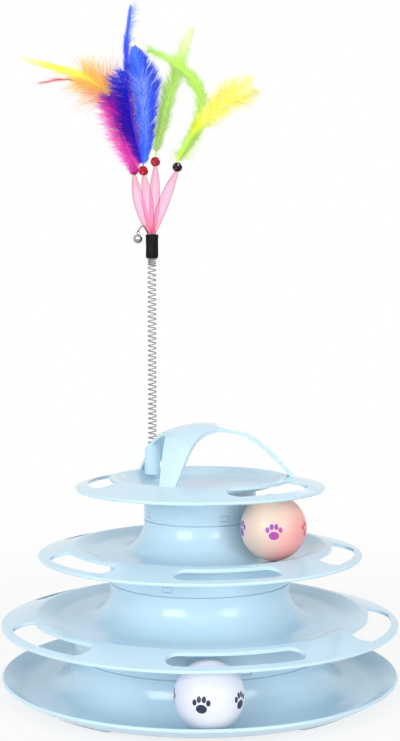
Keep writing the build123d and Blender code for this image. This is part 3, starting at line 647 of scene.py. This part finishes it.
def ribbon_edges(name, spine):
    """The two folded edges of a rolled strip, where the net lies double."""
    verts, faces = [], []
    for way in (-1, 1):
        line = []
        for i in range(RIBBON_ROWS + 1):
            share = i / RIBBON_ROWS
            line.append(spine.point(share) + spine.sideways(share) * way * ribbon_half(share))
        more_verts, more_faces = tube(line, [RIBBON_EDGE_R] * len(line), RIBBON_EDGE_SIDES)
        faces += [tuple(len(verts) + k for k in face) for face in more_faces]
        verts += more_verts
    return mesh_object(name, verts, faces)


# Ribbons: bead, seat in the sleeve's mouth and bow
ribbons = {
    "ribbon_left": ("bead_magenta", Vector((0.8, 1.5, 0)) * MM, -2.0 * MM),
    "ribbon_front": ("bead_red", Vector((-0.3, -1.5, 0)) * MM, 0.5 * MM),
    "ribbon_middle": ("bead_rose", Vector((0.2, 0.5, 0)) * MM, 0.3 * MM),
    "ribbon_right": ("bead_plum", Vector((-0.4, -0.5, 0)) * MM, -1.0 * MM),
}
for ribbon_name, (bead_name, seat, bow) in ribbons.items():
    start = sleeve_top + seat - Vector((0, 0, RIBBON_GRIP))
    end = bead_middles[bead_name] - Vector((0, 0, bead_bore_half - RIBBON_TUCK))
    spine = Spine(start, end, bow)
    strip = net_strip(f"net_{ribbon_name}", spine)
    dress(strip, "teaser_head", net, [ribbon_name])
    edges = ribbon_edges(f"edge_{ribbon_name}", spine)
    dress(edges, "teaser_head", net_edge)

WHITE = Vector((1, 1, 1))
INDIGO = Vector((0.014, 0.002, 0.42))
VIOLET = Vector((0.13, 0.006, 0.42))
ROYAL = Vector((0.02, 0.05, 0.74))
AZURE = Vector((0.055, 0.16, 0.86))
PALE_BLUE = Vector((0.30, 0.44, 0.95))
HOT_PINK = Vector((1.0, 0.07, 0.62))
MAGENTA = Vector((0.72, 0.01, 0.50))
YELLOW = Vector((1.0, 0.92, 0.10))
PALE_YELLOW = Vector((1.0, 0.97, 0.52))
AMBER = Vector((1.0, 0.64, 0.10))
SALMON = Vector((1.0, 0.42, 0.24))
CORAL = Vector((0.90, 0.12, 0.15))
RED = Vector((0.50, 0.02, 0.035))
MOSS = Vector((0.43, 0.70, 0.16))
LIME = Vector((0.46, 0.78, 0.10))
PALE_LIME = Vector((0.68, 0.90, 0.38))
ACID = Vector((0.74, 0.90, 0.03))
LEFT, RIGHT, BOTH = (-1,), (1,), (-1, 1)


class Feather:
    """Feather on its bead: a shaft, and tufts of thin three-sided barbs that taper to a point.

    The tip is measured in mm from the middle of the sleeve's top, and the bow is in mm too.
    """

    def __init__(self, name, bead_name, slot, tip, bow, lean, shaft_colour):
        self.name, self.seed = name, CLUMP_SLOT_STEP * slot + bow
        foot = bead_middles[bead_name] + Vector((0, slot * QUILL_STEP, QUILL_FOOT_RISE))
        root = foot + Vector((0, 0, BEAD_D / 2))
        self.spine = Spine(root, sleeve_top + Vector(tip) * MM, bow * MM, lean)
        line = [foot] + [self.spine.point(i / (QUILL_ROWS - 1)) for i in range(QUILL_ROWS)]
        radii = [QUILL_D / 2 * (1 - i / QUILL_ROWS) ** 3 + QUILL_TIP_R for i in range(len(line))]
        self.verts, self.faces = tube(line, radii, QUILL_SIDES)
        self.colours = [shaft_colour] * len(self.verts)

    def strand(self, line, width, first, last):
        """Barb along a short line, with a colour at its root and one at its point."""
        base, steps = len(self.verts), len(line) - 1
        facing = self.spine.facing
        for i, point in enumerate(line[:-1]):
            along = (line[i + 1] - point).normalized()
            half = along.cross(facing).normalized() * width / 2 * (1 - BARB_TAPER * i / steps)
            self.verts += [point - half, point + half, point + facing * half.length]
            self.colours += [mix(first, last, i / steps)] * 3
        self.verts.append(line[-1])
        self.colours.append(last)
        for i in range(steps - 1):
            for k in range(3):
                a, b = base + 3 * i + k, base + 3 * i + (k + 1) % 3
                self.faces.append((a, b, b + 3, a + 3))
        ring = base + 3 * (steps - 1)
        for k in range(3):
            self.faces.append((ring + k, ring + (k + 1) % 3, ring + 3))
        self.faces.append((base + 2, base + 1, base))

    def tuft(self, sides, shares, count, reach, angle, colours, points=None, width=0.3, fray=0.4,
             curl=0.1, lift=(-0.15, 0.15)):
        """Barbs between two shares of the shaft, on one side or both.

        Reach and width are in mm, angle is how many degrees a barb leans towards the tip, and
        points are the colours at the barbs' ends.
        """
        for i in range(count):
            along = (i + random.random()) / count
            share = mix(*shares, along)
            way = random.choice(sides)
            clump = noise.noise(Vector((share * CLUMP_RATE, way * CLUMP_SIDE_STEP, self.seed)))
            length = ramp(reach, along) * MM * (1 - fray * random.random() * (1 + clump))
            lean = math.radians(random.uniform(*angle) + CLUMP_LEAN * clump)
            ahead = self.spine.ahead(share)
            out = self.spine.sideways(share) * way * math.cos(lean) + ahead * math.sin(lean)
            out = (out + self.spine.facing * random.uniform(*lift)).normalized()
            drift = ahead * BARB_DRIFT + Vector([random.gauss(0, curl) for _ in range(3)])
            root = self.spine.point(share)
            line = [root + (out * t + drift * t * t) * length for t in BARB_STEPS]
            tone = random.uniform(*BARB_TONES)
            first = ramp(colours, along)
            last = ramp(points, along) if points else mix(first, WHITE, BARB_POINT_WHITE)
            self.strand(line, width * MM, first * tone, last * tone)

    def finish(self):
        """Make the feather's object in place of its node."""
        piece = mesh_object(f"barbs_{self.name}", self.verts, self.faces)
        add_colours(piece, [[min(1, value) for value in colour] for colour in self.colours])
        dress(piece, "teaser_head", barbs, [self.name])


blue_long = Feather("feather_blue_long", "bead_red", 1, (-13.3, 0.0, 147.4), -6.5, 0.5, ROYAL)
blue_long.tuft(BOTH, (0.46, 0.99), 700, [(0, 5), (0.6, 4.5), (1, 1.5)], (52, 72),
               [(0, INDIGO), (0.4, ROYAL), (1, AZURE)])
blue_long.tuft(RIGHT, (0.74, 0.98), 130, [(0, 7), (1, 8)], (25, 62), [(0, AZURE)],
               [(0, PALE_BLUE)], width=0.2, curl=0.2)
blue_long.tuft(LEFT, (0.02, 0.58), 720,
               [(0, 3), (0.12, 7), (0.23, 10.5), (0.4, 13), (0.85, 15), (1, 9)], (5, 42),
               [(0, INDIGO), (0.7, INDIGO), (1, ROYAL)], [(0, VIOLET), (0.6, INDIGO), (1, ROYAL)],
               width=0.32, curl=0.16)
blue_long.tuft(RIGHT, (0.02, 0.62), 520, [(0, 4), (0.5, 9), (1, 10)], (20, 55),
               [(0, VIOLET), (1, INDIGO)], width=0.3)
blue_long.tuft(LEFT, (0.56, 0.78), 26, [(0, 9), (1, 5)], (45, 70), [(0, INDIGO)],
               width=0.14, curl=0.2)
blue_long.finish()

blue_broad = Feather("feather_blue_broad", "bead_red", -1, (-11.4, -14.0, 117.8), 3.5, 0.5, AZURE)
blue_broad.tuft(LEFT, (0.02, 0.99), 820, [(0, 3), (0.3, 9), (0.6, 11), (0.85, 8), (1, 2)], (36, 56),
                [(0, ROYAL), (0.3, AZURE), (1, AZURE)], [(0, AZURE), (0.5, ROYAL), (1, AZURE)],
                width=0.36)
blue_broad.tuft(RIGHT, (0.01, 0.99), 820,
                [(0, 5), (0.15, 9), (0.3, 13), (0.5, 19), (0.62, 18), (0.75, 13), (0.88, 8),
                 (1, 2)], (38, 48), [(0, AZURE), (1, AZURE)],
                [(0, AZURE), (0.25, ROYAL), (0.7, ROYAL), (1, AZURE)],
                width=0.36, fray=0.16, curl=0.04)
# Painted highlight: pale blue and whitish barbs, lifted towards the front, down the middle of the
# vane
blue_broad.tuft(BOTH, (0.14, 0.70), 150, [(0, 8), (1, 14)], (40, 80), [(0, AZURE), (1, PALE_BLUE)],
                [(0, PALE_BLUE), (1, mix(PALE_BLUE, WHITE, 0.5))],
                width=0.18, curl=0.14, lift=(0.08, 0.3))
blue_broad.finish()

magenta = Feather("feather_magenta", "bead_magenta", -1, (-28.0, 5.0, 89.6), -0.5, 0.5, HOT_PINK)
magenta.tuft(BOTH, (0.0, 0.99), 1200, [(0, 8), (0.3, 13), (0.6, 14), (0.85, 12), (1, 8)], (5, 55),
             [(0, HOT_PINK), (0.6, HOT_PINK), (0.85, MAGENTA), (1, VIOLET)],
             width=0.26, curl=0.16, lift=(-0.4, 0.4))
magenta.tuft(BOTH, (0.0, 0.16), 480, [(0, 8.5), (1, 8)], (-85, -20), [(0, HOT_PINK)],
             width=0.4, lift=(0.25, 1.0))
magenta.finish()

orange = Feather("feather_orange", "bead_magenta", 0, (-88.8, 20.0, 118.2), 22.9, 0.4, PALE_YELLOW)
ORANGE_VANE = [(0, AMBER), (0.3, YELLOW), (0.7, YELLOW), (1, PALE_YELLOW)]
orange.tuft(LEFT, (0.36, 0.99), 560, [(0, 13), (0.25, 10), (0.6, 7), (1, 3)], (48, 70), ORANGE_VANE)
orange.tuft(RIGHT, (0.36, 0.99), 460, [(0, 14), (0.25, 9), (0.6, 5), (1, 2)], (48, 70), ORANGE_VANE)
orange.tuft(BOTH, (0.2, 0.6), 1200, [(0, 12), (0.5, 24), (1, 16)], (10, 70),
            [(0, CORAL), (0.35, SALMON), (0.7, AMBER), (1, AMBER)],
            [(0, CORAL), (0.5, SALMON), (1, AMBER)], width=0.22, curl=0.24, lift=(-0.4, 0.4))
orange.tuft(BOTH, (0.02, 0.28), 260, [(0, 6), (1, 10)], (20, 60), [(0, HOT_PINK), (1, CORAL)],
            width=0.24)
orange.finish()

red = Feather("feather_red", "bead_magenta", 1, (-78.8, 26.0, 100.0), 23.8, 0.57, RED)
red.tuft(BOTH, (0.04, 0.97), 260, [(0, 5), (1, 4)], (66, 84), [(0, HOT_PINK), (0.5, RED), (1, RED)],
         width=0.28)
red.tuft(BOTH, (0.82, 0.96), 16, [(0, 10), (1, 8)], (66, 82), [(0, CORAL)], [(0, CORAL)],
         width=0.22)
red.finish()

green = Feather("feather_green", "bead_rose", 1, (25.8, 12.0, 134.7), -2.5, 0.5, MOSS)
green.tuft(BOTH, (0.03, 0.99), 1200, [(0, 4), (0.15, 8), (0.5, 9.5), (0.8, 7), (1, 3)], (32, 58),
           [(0, MOSS), (0.3, LIME), (0.7, LIME), (0.85, PALE_LIME), (1, PALE_LIME)], width=0.28)
green.tuft(BOTH, (0.0, 0.6), 160, [(0, 6), (1, 10)], (15, 60), [(0, PALE_LIME)],
           width=0.16, curl=0.2)
green.finish()

lime = Feather("feather_lime", "bead_plum", 1, (-3.5, 0.0, 119.1), 26.0, 0.5, MOSS)
lime.tuft(BOTH, (0.04, 0.99), 1200, [(0, 5), (0.3, 7.5), (0.7, 7), (1, 4)], (34, 62),
          [(0, ACID), (0.25, LIME), (0.8, LIME), (1, MOSS)], width=0.28)
lime.tuft(LEFT, (0.25, 0.98), 200, [(0, 9), (1, 7)], (15, 45), [(0, LIME)], [(0, PALE_LIME)],
          width=0.15, curl=0.2)
lime.tuft(BOTH, (0.0, 0.3), 300, [(0, 9), (1, 7)], (-30, 60), [(0, PALE_LIME)],
          width=0.26, curl=0.2, lift=(-0.5, 0.5))
lime.tuft(RIGHT, (0.0, 0.16), 10, [(0, 20), (1, 24)], (-25, -5), [(0, PALE_LIME)], width=0.12)
lime.finish()

yellow = Feather("feather_yellow", "bead_plum", -1, (64.2, -22.0, 91.4), -7.2, 0.5, ACID)
yellow.tuft(BOTH, (0.02, 0.99), 1300,
            [(0, 3), (0.3, 6), (0.45, 11), (0.65, 16), (0.85, 15), (1, 8)], (24, 60),
            [(0, LIME), (0.2, LIME), (0.35, ACID), (0.5, YELLOW), (0.8, YELLOW), (1, PALE_YELLOW)],
            width=0.28, curl=0.14)
yellow.tuft(BOTH, (0.4, 0.98), 340, [(0, 12), (1, 10)], (5, 55), [(0, PALE_YELLOW)],
            width=0.16, curl=0.24, lift=(-0.4, 0.4))
yellow.finish()

# Studio: floor, soft lamps, pale world and the camera

FLOOR_GREY = (0.86, 0.87, 0.88)
FLOOR_CLOUDS = (6.0, 0.985, 1.0)
FLOOR_HALF = 6.0
FLOOR_Z = -0.2 * MM
FLOOR_FADE = (0.16, 0.75)
FLOOR_WHITE = (0.8, 1.0)
WORLD_LIGHT = 0.6
WORLD_WHITE = 1.0


def floor_material():
    """Pale floor that keeps the shadow, near white to the camera and in reflections."""
    made, tree, shader = principled("studio_floor", FLOOR_GREY, 0.9)
    place = object_place(tree)
    paint(tree, shader, shade(tree, (*FLOOR_GREY, 1), mottle(tree, place, *FLOOR_CLOUDS)))
    far = vector_maths(tree, "LENGTH", place)["Value"]
    share = map_range(tree, far, *FLOOR_WHITE, *FLOOR_FADE, "SMOOTHSTEP")
    seen = maths(tree, "MULTIPLY", background_rays(tree), share)
    white = node(tree, "ShaderNodeEmission", {"Color": (1, 1, 1, 1), "Strength": 1.0}).outputs[0]
    blend = node(tree, "ShaderNodeMixShader", {0: seen, 1: shader.outputs[0], 2: white})
    tree.links.new(blend.outputs[0], tree.nodes["Material Output"].inputs["Surface"])
    return made


floor_corners = [(-1, -1), (1, -1), (1, 1), (-1, 1)]
floor_verts = [(x * FLOOR_HALF, y * FLOOR_HALF, FLOOR_Z) for x, y in floor_corners]
floor = mesh_object("studio_floor", floor_verts, [(0, 1, 2, 3)])
floor.data.materials.append(floor_material())


def softbox(name, place, aim, size, energy, spread=180):
    """Rectangular soft lamp that points at a spot on the object; its spread is in degrees."""
    data = bpy.data.lights.new(name, "AREA")
    data.shape = "RECTANGLE"
    data.size, data.size_y = size
    data.energy = energy
    data.spread = math.radians(spread)
    lamp = bpy.data.objects.new(name, data)
    lamp.location = place
    lamp.rotation_euler = (Vector(aim) - Vector(place)).to_track_quat("-Z", "Y").to_euler()
    bpy.context.scene.collection.objects.link(lamp)


TOWER_AIM = (0, 0, 0.12)
TEASER_AIM = (-0.03, 0.02, 0.43)
softbox("key_lamp", (-0.8, -1.3, 0.5), TOWER_AIM, (0.7, 0.7), 11.3)
softbox("fill_lamp", (0.9, -1.2, 0.45), TOWER_AIM, (0.6, 0.7), 6.9)
softbox("teaser_lamp", (-0.15, -1.1, 0.62), TEASER_AIM, (0.25, 0.25), 0.19, spread=18)
softbox("teaser_back_lamp", (0.15, 1.1, 0.62), TEASER_AIM, (0.25, 0.25), 0.16, spread=18)
softbox("top_lamp", (0.0, -0.1, 1.35), (0, 0, 0.1), (1.1, 1.1), 3.5)

world = bpy.data.worlds.new("studio_world")
world.use_nodes = True
bpy.context.scene.world = world
sky = world.node_tree
background = sky.nodes["Background"]
background.inputs["Color"].default_value = (1, 1, 1, 1)
strength = map_range(sky, background_rays(sky), WORLD_LIGHT, WORLD_WHITE)
sky.links.new(strength, background.inputs["Strength"])

camera_data = bpy.data.cameras.new("photo_camera")
camera_data.lens = CAMERA_LENS
camera_data.sensor_width = SENSOR_WIDTH
camera = bpy.data.objects.new("photo_camera", camera_data)
camera.location = CAMERA_PLACE
camera.rotation_euler = (math.pi / 2 - CAMERA_PITCH, 0, 0)
bpy.context.scene.collection.objects.link(camera)
bpy.context.scene.camera = camera
bpy.context.scene.view_settings.view_transform = "Standard"
